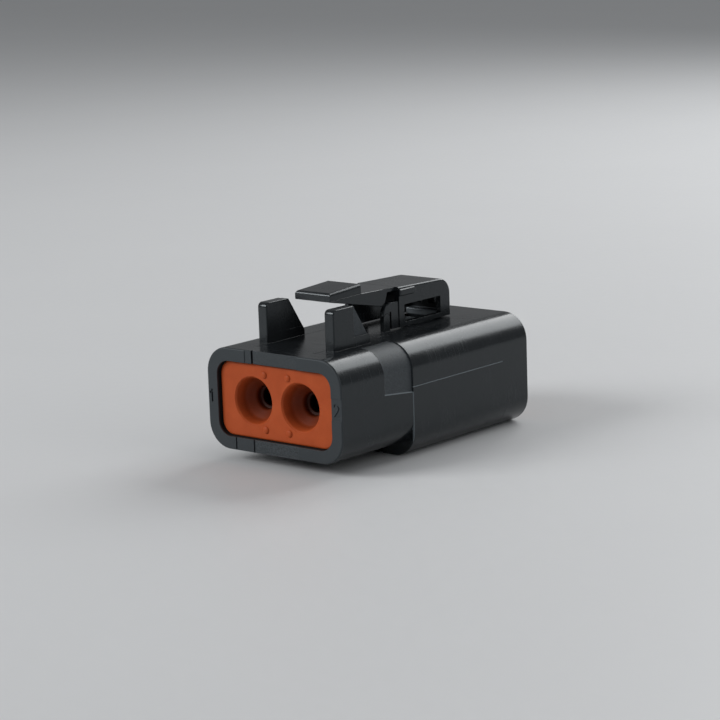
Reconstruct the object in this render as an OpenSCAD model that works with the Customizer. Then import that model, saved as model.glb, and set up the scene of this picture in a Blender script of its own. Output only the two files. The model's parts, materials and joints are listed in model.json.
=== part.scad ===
// Sealed two-way power connector plug, without wires.
// X runs across the plug, +Y from the wire face to the mating face, +Z up.
// The origin is the middle of the box around the plug, on the plane it rests on.

/* [Rear section] */
// Width of the rear section
rear_w = 27.9; // [27:0.1:29]
// Height of the rear section
rear_h = 16.4; // [15.8:0.1:17.6]
// Corner radius of the rear section
rear_r = 3.9; // [3:0.1:4.6]
// Length from the wire face to the step of the front section
rear_l = 17.2; // [16.4:0.1:18]
// Gap under the rear section when the plug rests on its front section
rear_lift = 2.0; // [1:0.1:3]
// Wall of the frame around the wire seal
frame_wall = 2.1; // [1.6:0.1:2.4]
// Depth of the pocket for the wire seal
pocket_l = 11.0; // [10.4:0.1:12]
// Corner radius of that pocket
pocket_r = 2.4; // [1.8:0.1:3]
// Rounding of the frame's rim
rim_round = 0.3; // [0.1:0.05:0.5]
// Width of the grained patches in the frame around the seal
patch_w = 9.2; // [7:0.1:11]
// Depth of the patch above the seal
patch_t = 0.25; // [0.1:0.05:0.4]
// Distance of both patches from the middle
patch_x = 0.4; // [0:0.1:0.8]
// Width of the deep notch beside the patch above the seal
notch_mark = 0.25; // [0.15:0.05:0.4]
// Depth of the shallow mould steps in the frame
mark_t = 0.1; // [0.05:0.01:0.2]
// Reach of the mould step beside the patch above the seal
mark_top = 1.5; // [0.5:0.1:2.5]
// Reach of the mould step beside the patch below the seal
mark_low = 3.6; // [1:0.1:4.5]
// Height of the mould steps in the frame's two sides
mark_h = 3.4; // [2:0.1:5]

/* [Front section] */
// Overall length of the plug
body_l = 47.5; // [46:0.5:52]
// How far each side of the front section stands proud of the rear section
front_proud = 0.2; // [0.1:0.05:0.6]
// Corner radius of the front section
front_r = 4.4; // [3.6:0.1:5]
// Wall of the skirt
skirt_wall = 1.7; // [1.4:0.1:1.9]
// Floor between the step and the skirt's hollow
skirt_floor = 1.4; // [1:0.1:2]
// Width of each relief notch in the step under the rear section
notch_w = 1.2; // [0.8:0.1:2]
// Distance from the middle to each relief notch
notch_x = 6.9; // [5.5:0.1:8]
// Depth of the relief notches
notch_l = 0.8; // [0.4:0.1:1.4]

/* [Grip band] */
// Start of the recessed grip band, from the wire face
band_y = 10.3; // [9:0.1:12]
// Length of the grip band
band_l = 6.4; // [5:0.1:6.6]
// Depth of the grip band
band_t = 0.15; // [0.05:0.05:0.3]
// Half width of the plain top between the bands
band_x = 9.4; // [8.4:0.1:10.4]
// Height of the parting line above the underside of the rear section
parting_h = 9.6; // [8:0.1:11]
// Width of the parting line's witness groove
parting_w = 0.14; // [0.1:0.02:0.3]
// How far that groove stays behind the mouth of the skirt
parting_back = 7; // [3:0.5:10]
// Width of the seam along the foot of each ear
seam_w = 0.2; // [0.1:0.02:0.3]
// Depth of that seam
seam_t = 0.12; // [0.05:0.01:0.2]
// Rear end of that seam, from the wire face
seam_y = 3.2; // [2:0.1:5]

/* [Contacts] */
// Distance between the two contacts
pitch = 9.8; // [9.5:0.1:10.2]
// Radius of the bore that takes the mating pin
socket_bore_r = 1.22; // [1.1:0.01:1.3]
// Depth of that bore
socket_bore_l = 9; // [7:0.5:10]
// Outer radius of the socket tube inside its sleeve
socket_r = 1.85; // [1.75:0.01:1.88]
// Wall of the steel sleeve
sleeve_t = 0.2; // [0.1:0.02:0.24]
// Length of the steel sleeve
sleeve_l = 11; // [10.5:0.1:11.2]
// Radius of the contact's neck
neck_r = 1.55; // [1.4:0.05:1.65]
// Radius of the contact's stop flange
flange_r = 2.45; // [2.35:0.05:2.5]
// Thickness of the stop flange
flange_l = 1.2; // [0.8:0.1:1.6]
// Outer radius of the crimp barrel
barrel_r = 1.95; // [1.8:0.05:2.1]
// Inner radius of the crimp barrel
barrel_bore_r = 1.3; // [1.1:0.05:1.45]
// Length of the crimp barrel
barrel_l = 7.4; // [6.5:0.1:8.4]
// Solid length between the crimp bore and the stop flange
barrel_floor = 1.2; // [0.8:0.1:2]
// Radius of the inspection hole in the crimp barrel
peep_r = 0.5; // [0.3:0.05:0.7]
// Depth of the slots between the socket's spring beams
beam_l = 7; // [5:0.5:8]
// Width of these slots
beam_slot = 0.32; // [0.2:0.02:0.4]
// How far the socket tube stays behind the front of its sleeve
tip_back = 0.3; // [0.25:0.05:0.4]
// Overall length of the contact
contact_l = 28; // [27:0.1:28.6]
// Clearance between the contact's front and the wedge
contact_play = 0.3; // [0.2:0.05:0.5]
// Radial clearance around the contact
contact_gap = 0.1; // [0.05:0.01:0.14]

/* [Nose] */
// Gap between the nose and the skirt, where the mating shell goes in
channel = 2.2; // [2.1:0.05:2.5]
// Corner radius of the nose
nose_r = 2.6; // [2:0.1:3.2]
// Wall of the nose around the wedge
nose_wall = 1.5; // [1.2:0.1:1.7]
// How far the nose stays behind the mouth of the skirt
nose_back = 2.5; // [2:0.1:4]
// Depth of the opening for the wedge
wedge_room = 10.6; // [10:0.1:11]
// Width of each locking finger
finger_w = 2.4; // [2:0.1:2.8]
// Width of the slits around a finger
finger_slit = 0.5; // [0.4:0.05:0.7]
// Length of each locking finger
finger_l = 5.4; // [5:0.1:6]
// Reach of the finger's catch into the contact's bore
catch_reach = 0.42; // [0.3:0.02:0.5]
// Width and length of that catch
catch_w = 1.8; // [1.4:0.1:2.2]

/* [Wedge] */
// Thickness of the wedge's front plate
wedge_plate = 2.4; // [2:0.1:3]
// Width of the wedge's tongue
tongue_w = 2.5; // [2.2:0.1:2.6]
// Clearance between the tongue and the roof of the wedge's opening
tongue_gap = 0.3; // [0.15:0.05:0.6]
// Length of the collars that hold the two sleeves
collar_l = 3.4; // [2:0.1:5]
// Wall of these collars
collar_wall = 0.5; // [0.4:0.05:0.6]
// Clearance around the wedge
wedge_gap = 0.12; // [0.08:0.01:0.2]
// Radius of the pin holes in the wedge
pin_hole_r = 1.5; // [1.4:0.05:1.7]

/* [Seals] */
// Recess of the wire seal behind the rim
seal_back = 0.74; // [0.4:0.02:1.1]
// Radius of each wire funnel at the seal's face
funnel_r = 3.77; // [3.5:0.01:4]
// Radius at the bottom of the funnel's steep wall
funnel_mid_r = 3.35; // [3:0.05:3.45]
// Depth of the steep wall
funnel_mid_l = 1.8; // [1.4:0.1:2]
// Depth of the funnel down to its counterbore
funnel_l = 3.0; // [2.6:0.1:3.4]
// Radius of the counterbore at the funnel's bottom
counter_r = 1.95; // [1.8:0.05:2.2]
// Depth of that counterbore
counter_l = 0.8; // [0.5:0.1:1]
// Radius of the wire lips
lip_r = 1.45; // [1.3:0.01:1.6]
// Length of each wire lip
lip_l = 1.0; // [0.8:0.1:1.2]
// Depth of the grooves between the seal's outer ribs
rib_groove = 0.45; // [0.3:0.05:0.7]
// Length of the wire seal's front band
band_front = 1.8; // [1.4:0.1:2.4]
// Length of each outer rib behind that band
rib_l = 1.2; // [0.8:0.1:1.4]
// Distance between these ribs
rib_pitch = 2.7; // [2.4:0.1:2.9]
// Distance between the wire lips
lip_pitch = 2.3; // [1.9:0.1:2.5]
// Clearance between a seal and its seat
seal_gap = 0.03; // [0.02:0.01:0.05]
// Radius of the small round bumps on the seal's face
bump_r = 0.56; // [0.4:0.02:0.7]
// Height of these bumps
bump_t = 0.3; // [0.2:0.05:0.4]
// Distance from the middle to the bumps
bump_x = 2.45; // [2:0.05:3]
// Height of the bumps above and below the contact line
bump_z = 4.4; // [4:0.05:4.8]
// Length of the seal around the nose
face_seal_l = 5.0; // [4:0.1:6]
// Thickness of that seal at its ribs
face_seal_t = 1.85; // [1.6:0.05:2]
// Length of each rib on that seal
face_rib_l = 0.8; // [0.6:0.1:1.2]

/* [Guard ears] */
// Distance between the two ears
ear_space = 12.0; // [11:0.1:13]
// Thickness of an ear
ear_t = 1.9; // [1.6:0.1:2.2]
// Height of an ear above the top
ear_h = 6.5; // [6:0.1:7]
// Rear face of the ears, from the wire face
ear_y = 5.85; // [4.5:0.05:6.5]
// Length of an ear along its top
ear_top_l = 5.3; // [5:0.05:5.6]
// Length of an ear along its foot
ear_foot_l = 8.85; // [8.4:0.05:9.4]
// Length of the ear's thick post behind its gusset
post_l = 4.75; // [4.4:0.05:4.9]
// Rounding of the ear's rear edge
ear_round = 0.8; // [0.4:0.1:1.2]
// Depth of the step beside the ear's gusset
gusset_t = 0.45; // [0.1:0.05:0.6]
// Height of the gusset's foot
gusset_foot = 1.5; // [1:0.1:2]

/* [Latch lever] */
// Width of the lever's arm
arm_w = 7.5; // [7.2:0.1:8]
// Width of the hood over the hook
hood_w = 8.8; // [8.6:0.1:9.6]
// Thickness of the hood's side plates
cheek_t = 0.95; // [0.8:0.05:1.1]
// Thickness of the lever's top plate
plate_t = 1.2; // [1:0.1:1.4]
// Rear end of the thumb pad, from the wire face
pad_y = 10.1; // [9.6:0.1:10.6]
// Length of the thumb pad
pad_l = 7.6; // [7:0.1:8]
// Height of the thumb pad's top above the body at its front
pad_top = 8.55; // [8.3:0.05:8.8]
// Height of the arm's top above the body, beside the pad
arm_top = 7.05; // [6.9:0.05:7.2]
// Drop of the lever's top from the pad to the front
arm_drop = 0.55; // [0.3:0.05:0.7]
// Depth of the arm at its front
arm_depth = 2.9; // [2.4:0.1:3.2]
// Front of the arm's side webs at their lower edge, from the wire face
web_y = 23.2; // [22.8:0.1:23.8]
// Slant of the webs' front end
web_slant = 1.2; // [0.4:0.1:1.6]
// Thickness of the plate between the webs and the hood
neck_t = 0.6; // [0.5:0.05:1]
// Thickness of the spine under the middle of the lever
spine_t = 1.2; // [0.8:0.1:1.6]
// Height of the spine's lower edge above the body
spine_h = 1.5; // [1.4:0.05:2]
// Front end of the spine, from the wire face
spine_end = 32.6; // [31:0.1:32.6]
// Wall of the arm around the hollow under it
arm_wall = 1.1; // [0.9:0.1:1.4]
// Rear end of the hood, from the wire face
hood_y = 26.2; // [25.8:0.1:26.6]
// Front end of the hood, from the wire face
hood_end = 39.6; // [39:0.1:40.4]
// Rounding of the hood's front corner
hood_r = 2.6; // [2:0.1:3]
// Distance from the hood's rear end to the window in each of its sides
window_back = 1.3; // [1:0.1:1.8]
// Length of that window
window_l = 9.4; // [9:0.1:9.8]
// Height of the window
window_h = 2.85; // [2.4:0.05:3.1]
// Height of the rail under the window
rail_h = 0.7; // [0.6:0.05:0.9]
// Gap between the lever and the top of the body
lever_gap = 0.25; // [0.2:0.05:0.35]
// Height of the bar across the hook
bar_h = 0.95; // [0.8:0.05:1.2]
// Length of the bar and the hook under it
hook_l = 2.1; // [1.6:0.1:2.3]
// Width of the hook
hook_w = 5.6; // [5:0.1:6]
// Thickness of the hood's front wall
front_wall = 1.2; // [1:0.1:1.5]
// Distance from the middle to each pocket in the hood's front wall
pocket_x = 0.65; // [0.4:0.05:1]
// Width of these pockets
pocket_w = 1.85; // [1.4:0.05:2.2]
// Depth of these pockets
pocket_t = 0.8; // [0.4:0.1:0.8]
// Length of the bead on each side of the hood
bead_l = 4.1; // [3.4:0.1:5]
// Thickness of that bead, up and down
bead_t = 1.15; // [1:0.05:1.3]
// Height of that bead above the body
bead_h = 5.3; // [5:0.05:5.4]
// How far the legs and shoulders stay inside the hood's sides
side_step = 0.15; // [0.05:0.05:0.25]

/* [Latch legs] */
// Rear face of the flexible legs, from the wire face
leg_y = 22.4; // [22.1:0.1:22.6]
// Thickness of the flexible legs
leg_t = 1.5; // [1.2:0.05:1.6]
// Height of the legs' bend line above the body
flex_h = 2.2; // [2:0.05:2.4]
// Height of the shoulder in front of a leg above the body
shoulder_h = 4.6; // [4.2:0.1:5]
// Rounding of that shoulder
shoulder_r = 1.9; // [1.4:0.1:2.2]
// Clearance at the bend line
flex_gap = 0.04; // [0.02:0.01:0.06]
// Slot between a leg and the cheek in front of it
leg_slot = 0.4; // [0.3:0.05:0.6]
// Clearance around the hook in its slot
hook_gap = 0.5; // [0.4:0.05:0.8]
// Clearance behind the hook in its slot
slot_back = 1.4; // [0.5:0.1:2]

/* [Hidden] */
$fn = 64;
eps = 0.01;
front_w = rear_w + 2 * front_proud;
top_z = rear_lift + rear_h;
axis_z = rear_lift + rear_h / 2;
parting_z = rear_lift + parting_h;
skirt_in_w = front_w - 2 * skirt_wall;
skirt_in_h = top_z - 2 * skirt_wall;
nose_w = skirt_in_w - 2 * channel;
nose_h = skirt_in_h - 2 * channel;
hollow_y = rear_l + skirt_floor;
nose_y = body_l - nose_back;
nose_z = top_z / 2;
room_w = nose_w - 2 * nose_wall;
room_h = nose_h - 2 * nose_wall;
tongue_h = 2 * (nose_z + room_h / 2 - tongue_gap - axis_z);
room_y = nose_y - wedge_room;
contact_front = nose_y - wedge_plate - contact_play;
contact_y = contact_front - contact_l;
flange_y = contact_y + barrel_l;
tip_y = contact_front - tip_back;
sleeve_y = contact_front - sleeve_l;
sleeve_r = socket_r + sleeve_t;
core_r = sleeve_r + contact_gap;
finger_tip = sleeve_y - 0.1;
finger_root = finger_tip - finger_l;
finger_x = tongue_w / 2 + wedge_gap;
collar_r = core_r + collar_wall;
flex_y = leg_y + leg_t / 2;
flex_z = top_z + flex_h;
pad_end = pad_y + pad_l;
lever_z = top_z + lever_gap;
rail_z = lever_z + rail_h;
hook_y = hood_end - 0.5 - hook_l;
cheek_x = hood_w / 2 - cheek_t;
leg_x = hood_w / 2 - side_step;

// Height of the lever's sloping top at the distance y from the wire face
function lever_top(y) = top_z + arm_top - arm_drop * max(0, y - pad_end) / (hood_end - pad_end);

// Moves the origin from the wire face to the middle of the plug's length
module placed() {
    translate([0, -body_l / 2, 0]) children();
}

// Rectangle with rounded corners, about its middle
module round_rect(w, h, r) {
    square([w - 2 * r, h], center = true);
    square([w, h - 2 * r], center = true);
    for (sx = [-1, 1], sz = [-1, 1])
        translate([sx * (w / 2 - r), sz * (h / 2 - r)]) circle(r);
}

// Rounded bar along Y from y0 to y1, at the height z
module bar(y0, y1, w, h, r, z) {
    translate([0, y1, z]) rotate([90, 0, 0]) linear_extrude(y1 - y0) round_rect(w, h, r);
}

// Rim that narrows from the full outline at y1 to a smaller one at y0
module rim(y0, y1, w, h, r, z, inset) {
    hull() {
        bar(y1 - eps, y1, w, h, r, z, $fn = 32);
        bar(y0, y0 + eps, w - 2 * inset, h - 2 * inset, r - inset, z, $fn = 32);
    }
}

// Round rod along Y from y0 to y1
module rod(y0, y1, r, x = 0) {
    translate([x, y1, axis_z]) rotate([90, 0, 0]) cylinder(h = y1 - y0, r = r);
}

// Plate across X from x0 to x1, with its outline drawn in Y and Z
module plate(x0, x1) {
    translate([x0, 0, 0]) rotate([90, 0, 90]) linear_extrude(x1 - x0) children();
}

// Box between two corners
module block(a, b) {
    translate(a) cube(b - a);
}

module both_sides() {
    children();
    mirror([1, 0, 0]) children();
}

module rear_body() {
    bar(rim_round, rear_l + eps, rear_w, rear_h, rear_r, axis_z);
    rim(0, rim_round + eps, rear_w, rear_h, rear_r, axis_z, rim_round);
}

module front_body() {
    bar(rear_l, body_l - rim_round, front_w, top_z, front_r, top_z / 2);
    mirror([0, 1, 0])
        rim(-body_l, rim_round - body_l + eps, front_w, top_z, front_r, top_z / 2, rim_round);
}

// Shallow recess that wraps over the two upper edges of the rear section
module grip_band() {
    difference() {
        both_sides()
            block([band_x, band_y, parting_z], [rear_w, band_y + band_l, top_z + 1]);
        bar(0, rear_l, rear_w - 2 * band_t, rear_h - 2 * band_t, rear_r - band_t, axis_z);
    }
}

// Witness grooves where the halves of the mould meet
module parting_grooves() {
    both_sides() {
        block([rear_w / 2 - mark_t, 1, parting_z - parting_w], [rear_w, band_y - 1, parting_z]);
        block([front_w / 2 - mark_t, rear_l + 0.6, parting_z - parting_w],
              [front_w, body_l - parting_back, parting_z]);
        block([ear_space / 2 - seam_w, seam_y, top_z - seam_t], [ear_space / 2, leg_y - 1, top_z + 1]);
    }
}

// Recessed patches and steps in the frame around the wire seal
module frame_marks() {
    pocket_top = axis_z + rear_h / 2 - frame_wall - eps;
    pocket_low = axis_z - rear_h / 2 + frame_wall + eps;
    left = patch_x - patch_w / 2;
    right = patch_x + patch_w / 2;
    block([left, -1, pocket_top], [right, patch_t, top_z + 1]);
    block([left - mark_top, -1, pocket_top], [0, mark_t, top_z + 1]);
    block([left - notch_mark, -1, pocket_top], [left, 2 * patch_t, top_z + 1]);
    block([left, -1, 0], [right, 1.5 * mark_t, pocket_low]);
    block([left - mark_low, -1, 0], [0, mark_t, pocket_low]);
    both_sides()
        block([rear_w / 2 - frame_wall - eps, -1, axis_z - 1], [rear_w, mark_t, axis_z - 1 + mark_h]);
}

// Bore that a contact slides into from the wire face, with its stop step
module contact_bore(x) {
    rod(pocket_l - 1, flange_y + flange_l, flange_r + contact_gap, x);
    rod(flange_y, room_y + 1, core_r, x);
}

// Slot for the wedge's tongue and the slits that free a locking finger
module finger_cuts() {
    reach = pitch / 2 - core_r / 2;
    slit_z = finger_w / 2 + finger_slit;
    both_sides() {
        for (s = [-1, 1])
            translate([0, 0, axis_z + s * (finger_w + finger_slit) / 2])
                block([finger_x - eps, finger_root, -finger_slit / 2],
                      [reach, finger_tip + finger_slit, finger_slit / 2]);
        block([finger_x - eps, finger_tip, axis_z - slit_z],
              [reach, finger_tip + finger_slit, axis_z + slit_z]);
    }
    block([-finger_x, finger_root, axis_z - tongue_h / 2 - wedge_gap],
          [finger_x, room_y + 1, axis_z + tongue_h / 2 + wedge_gap]);
}

// Catch at a finger's tip, which rises gently towards the front
module finger_catch() {
    wall_x = pitch / 2 - core_r;
    translate([0, 0, axis_z - catch_w / 2]) linear_extrude(catch_w)
        polygon([[wall_x - 0.2, finger_tip - catch_w], [wall_x - 0.2, finger_tip],
                 [wall_x + catch_reach, finger_tip], [wall_x + catch_reach, finger_tip - 0.6]]);
}

module ear_outline() {
    back = ear_y + ear_round;
    high = top_z + ear_h;
    polygon([[ear_y, top_z - 0.5], [ear_y, high - ear_round], [back, high - ear_round],
             [back, high], [ear_y + ear_top_l, high],
             [ear_y + ear_foot_l - 0.3, top_z + gusset_foot], [ear_y + ear_foot_l, top_z],
             [ear_y + ear_foot_l, top_z - 0.5]]);
    translate([back, high - ear_round]) circle(ear_round);
}

// Ear beside the thumb pad: a thick rear part and a thinner gusset before it
module ear() {
    x0 = ear_space / 2;
    x1 = x0 + ear_t;
    gusset_y = ear_y + post_l;
    difference() {
        plate(x0, x1) ear_outline();
        block([x1 - gusset_t, gusset_y, top_z + gusset_foot], [x1 + 1, rear_l, top_z + ear_h + 1]);
    }
}

// Lower half of a flexible leg, with its round end at the bend line
module leg_stub() {
    block([cheek_x, leg_y, top_z - 0.5], [leg_x, leg_y + leg_t, flex_z]);
    plate(cheek_x, leg_x) translate([flex_y, flex_z]) circle(leg_t / 2);
}

// Opening over the hook and the channel that the mating ramp slides in
module hook_openings() {
    side = hook_w / 2 + hook_gap;
    inner = top_z - skirt_wall;
    block([-side, hook_y - slot_back, inner - 1],
          [side, hook_y + hook_l + hook_gap + 0.2, top_z + 1]);
    block([-side, hook_y - slot_back, inner - 1], [side, body_l + 1, inner + 0.8]);
}

// Notches in the step that faces the wires, under the rear section
module step_notches() {
    both_sides()
        block([notch_x - notch_w / 2, rear_l - 1, -1],
              [notch_x + notch_w / 2, rear_l + notch_l, rear_lift - eps]);
}

module nose() {
    difference() {
        union() {
            bar(hollow_y - eps, nose_y - rim_round, nose_w, nose_h, nose_r, nose_z);
            mirror([0, 1, 0]) rim(-nose_y, rim_round - nose_y + eps, nose_w, nose_h, nose_r, nose_z, rim_round);
        }
        bar(room_y, nose_y + 1, room_w, room_h, nose_r - nose_wall, nose_z);
    }
}

module housing() {
    color([0.05, 0.055, 0.06]) placed() {
        difference() {
            union() {
                difference() {
                    union() {
                        rear_body();
                        front_body();
                    }
                    bar(-1, pocket_l, rear_w - 2 * frame_wall, rear_h - 2 * frame_wall, pocket_r, axis_z);
                    bar(hollow_y, body_l + 1, skirt_in_w, skirt_in_h, front_r - skirt_wall, nose_z);
                    grip_band();
                    parting_grooves();
                    frame_marks();
                    hook_openings();
                    step_notches();
                }
                nose();
                both_sides() {
                    ear();
                    leg_stub();
                }
            }
            for (s = [-1, 1])
                contact_bore(s * pitch / 2);
            finger_cuts();
        }
        both_sides() finger_catch();
    }
}

// Outline of one wire passage: half sections of its funnel, lips and chambers
module wire_passage(x) {
    depth = pocket_l - seal_back;
    lips = [for (i = [0:2]) funnel_l + counter_l + i * lip_pitch];
    wall = [for (y = lips) each [[counter_r, y], [lip_r, y], [lip_r, y + lip_l], [counter_r, y + lip_l]]];
    half = concat([[0, -1], [funnel_r, -1], [funnel_r, 0], [funnel_mid_r, funnel_mid_l], [counter_r, funnel_l]],
                  wall, [[counter_r, depth + 1], [0, depth + 1]]);
    translate([x, seal_back, axis_z]) rotate([-90, 0, 0]) rotate_extrude() polygon(half);
}

module wire_seal() {
    w = rear_w - 2 * (frame_wall + seal_gap);
    h = rear_h - 2 * (frame_wall + seal_gap);
    r = pocket_r - seal_gap;
    color([0.72, 0.22, 0.09]) placed() {
        difference() {
            union() {
                bar(seal_back, seal_back + band_front, w, h, r, axis_z);
                bar(seal_back, pocket_l - seal_gap, w - 2 * rib_groove, h - 2 * rib_groove, r - rib_groove, axis_z);
                for (i = [0:2])
                    translate([0, (i + 1) * rib_pitch, 0]) bar(seal_back + 0.5, seal_back + 0.5 + rib_l, w, h, r, axis_z);
            }
            for (s = [-1, 1])
                wire_passage(s * pitch / 2);
        }
        for (sx = [-1, 1], sz = [-1, 1])
            translate([sx * bump_x, seal_back, axis_z + sz * bump_z]) rotate([-90, 0, 0])
                translate([0, 0, -bump_t]) cylinder(h = 2 * bump_t, r = bump_r);
    }
}

module interface_seal() {
    base = face_seal_t * 0.6;
    y0 = hollow_y + seal_gap;
    color([0.72, 0.22, 0.09]) placed() difference() {
        union() {
            bar(y0, y0 + face_seal_l, nose_w + 2 * base, nose_h + 2 * base, nose_r + base, nose_z);
            for (i = [0:2])
                translate([0, y0 + 0.7 + i * (face_seal_l - 1.4 - face_rib_l) / 2, 0])
                    bar(0, face_rib_l, nose_w + 2 * face_seal_t, nose_h + 2 * face_seal_t, nose_r + face_seal_t, nose_z);
        }
        bar(y0 - 1, y0 + face_seal_l + 1, nose_w + 2 * seal_gap, nose_h + 2 * seal_gap, nose_r + seal_gap, nose_z);
    }
}

// Plate, tongue and collars; the tongue keeps both fingers from bending inwards
module wedge_lock() {
    plate_y = nose_y - wedge_plate;
    w = room_w - 2 * wedge_gap;
    h = room_h - 2 * wedge_gap;
    r = nose_r - nose_wall - wedge_gap;
    color([0.80, 0.36, 0.10]) placed() difference() {
        union() {
            bar(plate_y, nose_y, w, h, r, nose_z);
            block([-tongue_w / 2, finger_root + 0.3, axis_z - tongue_h / 2],
                  [tongue_w / 2, plate_y + eps, axis_z + tongue_h / 2]);
            intersection() {
                bar(plate_y - collar_l, plate_y + eps, w, h, r, nose_z);
                both_sides() rod(plate_y - collar_l, plate_y + eps, collar_r, pitch / 2);
            }
        }
        for (s = [-1, 1]) {
            rod(plate_y - collar_l - 1, plate_y, sleeve_r + wedge_gap, s * pitch / 2);
            rod(plate_y - 1, nose_y + 1, pin_hole_r, s * pitch / 2);
        }
    }
}

module socket_contact(x) {
    color([0.78, 0.77, 0.72]) placed() difference() {
        union() {
            rod(contact_y, flange_y + eps, barrel_r, x);
            rod(flange_y, flange_y + flange_l, flange_r, x);
            rod(flange_y + flange_l - eps, sleeve_y + eps, neck_r, x);
            rod(sleeve_y, tip_y, socket_r, x);
        }
        rod(contact_y - 1, flange_y - barrel_floor, barrel_bore_r, x);
        rod(tip_y - socket_bore_l, contact_front + 1, socket_bore_r, x);
        translate([x, 0, axis_z])
            block([-beam_slot / 2, tip_y - beam_l, -socket_r - 1],
                  [beam_slot / 2, contact_front + 1, socket_r + 1]);
        translate([x, flange_y - barrel_floor - 1.6 * peep_r, axis_z]) rotate([0, 90, 0])
            cylinder(h = 2 * barrel_r, r = peep_r);
    }
}

module socket_contact_left() {
    socket_contact(-pitch / 2);
}

module socket_contact_right() {
    socket_contact(pitch / 2);
}

// Thin steel tube pressed over the socket, turned in at its front
module socket_sleeve(x) {
    color([0.62, 0.63, 0.65]) placed() difference() {
        rod(sleeve_y, contact_front, sleeve_r, x);
        rod(sleeve_y - 1, contact_front - sleeve_t, socket_r + 0.01, x);
        rod(contact_front - 1, contact_front + 1, socket_bore_r + 0.15, x);
    }
}

module socket_sleeve_left() {
    socket_sleeve(-pitch / 2);
}

module socket_sleeve_right() {
    socket_sleeve(pitch / 2);
}

// Thumb pad and the arm under it, which gets deeper towards the hood
module lever_arm() {
    arm_y = pad_y + 0.15;
    front = lever_top(web_y) - arm_depth;
    back = top_z + arm_top - 0.35;
    hollow_start = pad_y + 4.4;
    slope = (front - back) / (web_y - arm_y);
    web_top = web_y + web_slant;
    plate(-arm_w / 2 + 0.12, arm_w / 2 - 0.12)
        polygon([[pad_y, top_z + arm_top - 0.25], [pad_y, top_z + pad_top - 0.75],
                 [pad_y + 0.3, top_z + pad_top - 0.43], [pad_end, top_z + pad_top],
                 [pad_end, top_z + arm_top - 0.1], [arm_y + 1, top_z + arm_top - 0.4]]);
    difference() {
        plate(-arm_w / 2, arm_w / 2)
            polygon([[arm_y, back], [arm_y, top_z + arm_top - 0.2], [pad_end, top_z + arm_top],
                     [web_top, lever_top(web_top)], [web_y, front]]);
        plate(arm_wall - arm_w / 2, arm_w / 2 - arm_wall)
            polygon([[hollow_start, back + slope * (hollow_start - arm_y) - 0.3],
                     [hollow_start, top_z + arm_top - plate_t],
                     [web_top + 1, lever_top(web_top) - plate_t], [web_top + 1, front - 1]]);
    }
    plate(-arm_w / 2, arm_w / 2)
        polygon([[web_y, lever_top(web_y) - neck_t], [web_y, lever_top(web_y)],
                 [hood_y + eps, lever_top(hood_y)], [hood_y + eps, lever_top(hood_y) - neck_t]]);
}

// Upright rib under the middle of the lever, from inside the arm to inside the hood
module lever_spine() {
    foot = top_z + spine_h;
    spine_y = pad_end + 1.5;
    plate(-spine_t / 2, spine_t / 2)
        polygon([[spine_y, top_z + arm_top - arm_depth / 2], [spine_y, lever_top(spine_y) - 0.2],
                 [spine_end, lever_top(spine_end) - 0.2], [spine_end, foot], [leg_y - 0.6, foot]]);
}

module hood_outline() {
    crown = lever_top(hood_end - hood_r);
    polygon([[hood_y, lever_z], [hood_y, lever_top(hood_y)], [hood_end - hood_r, crown],
             [hood_end - hood_r, crown - hood_r], [hood_end, crown - hood_r], [hood_end, lever_z]]);
    translate([hood_end - hood_r, crown - hood_r]) circle(hood_r);
}

// Hollow hood with a window in each side and the hook across its front
module lever_hood() {
    wall_y = hood_end - front_wall;
    window_y = hood_y + window_back;
    hook_low = top_z - skirt_wall + 0.25;
    difference() {
        plate(-hood_w / 2, hood_w / 2) hood_outline();
        plate(-cheek_x, cheek_x)
            polygon([[hood_y - 1, 0], [hood_y - 1, lever_top(hood_y) - plate_t],
                     [wall_y, lever_top(wall_y) - plate_t - 0.4], [wall_y, 0]]);
        block([-hood_w, window_y, rail_z], [hood_w, window_y + window_l, rail_z + window_h]);
        both_sides()
            block([pocket_x, wall_y - 1, rail_z + 1], [pocket_x + pocket_w, wall_y + pocket_t, rail_z + window_h]);
    }
    block([-cheek_x - eps, hook_y, lever_z], [cheek_x + eps, wall_y + eps, lever_z + bar_h]);
    plate(-hook_w / 2, hook_w / 2)
        polygon([[hook_y, hook_low], [hook_y, lever_z + eps], [hook_y + hook_l, lever_z + eps],
                 [hook_y + hook_l, hook_low + 0.9], [hook_y + hook_l - 0.9, hook_low]]);
    both_sides() plate(hood_w / 2 - eps, hood_w / 2 + 0.3) bead_outline();
}

module bead_outline() {
    low = top_z + bead_h;
    translate([hood_y, low]) square([bead_l - bead_t / 2, bead_t]);
    translate([hood_y + bead_l - bead_t / 2, low + bead_t / 2]) circle(bead_t / 2);
}

// Cheek between a flexible leg and the hood, with the leg's upper half
module shoulder() {
    high = top_z + shoulder_h;
    difference() {
        plate(cheek_x, leg_x) {
            polygon([[leg_y, flex_z], [leg_y, high - shoulder_r], [leg_y + shoulder_r, high - shoulder_r],
                     [leg_y + shoulder_r, high], [hood_y + eps, high], [hood_y + eps, lever_z],
                     [leg_y + leg_t + leg_slot, lever_z], [leg_y + leg_t + leg_slot, flex_z]]);
            translate([leg_y + shoulder_r, high - shoulder_r]) intersection() {
                circle(shoulder_r);
                translate([-shoulder_r, 0]) square(shoulder_r);
            }
        }
        plate(0, hood_w) translate([flex_y, flex_z]) circle(leg_t / 2 + flex_gap);
        block([0, leg_y + leg_t, 0], [hood_w, leg_y + leg_t + leg_slot, flex_z + 0.9]);
    }
}

module latch_lever() {
    color([0.05, 0.055, 0.06]) placed() {
        lever_arm();
        lever_spine();
        lever_hood();
        both_sides() shoulder();
    }
}

housing();
wire_seal();
interface_seal();
wedge_lock();
socket_contact_left();
socket_contact_right();
socket_sleeve_left();
socket_sleeve_right();
latch_lever();
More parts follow.
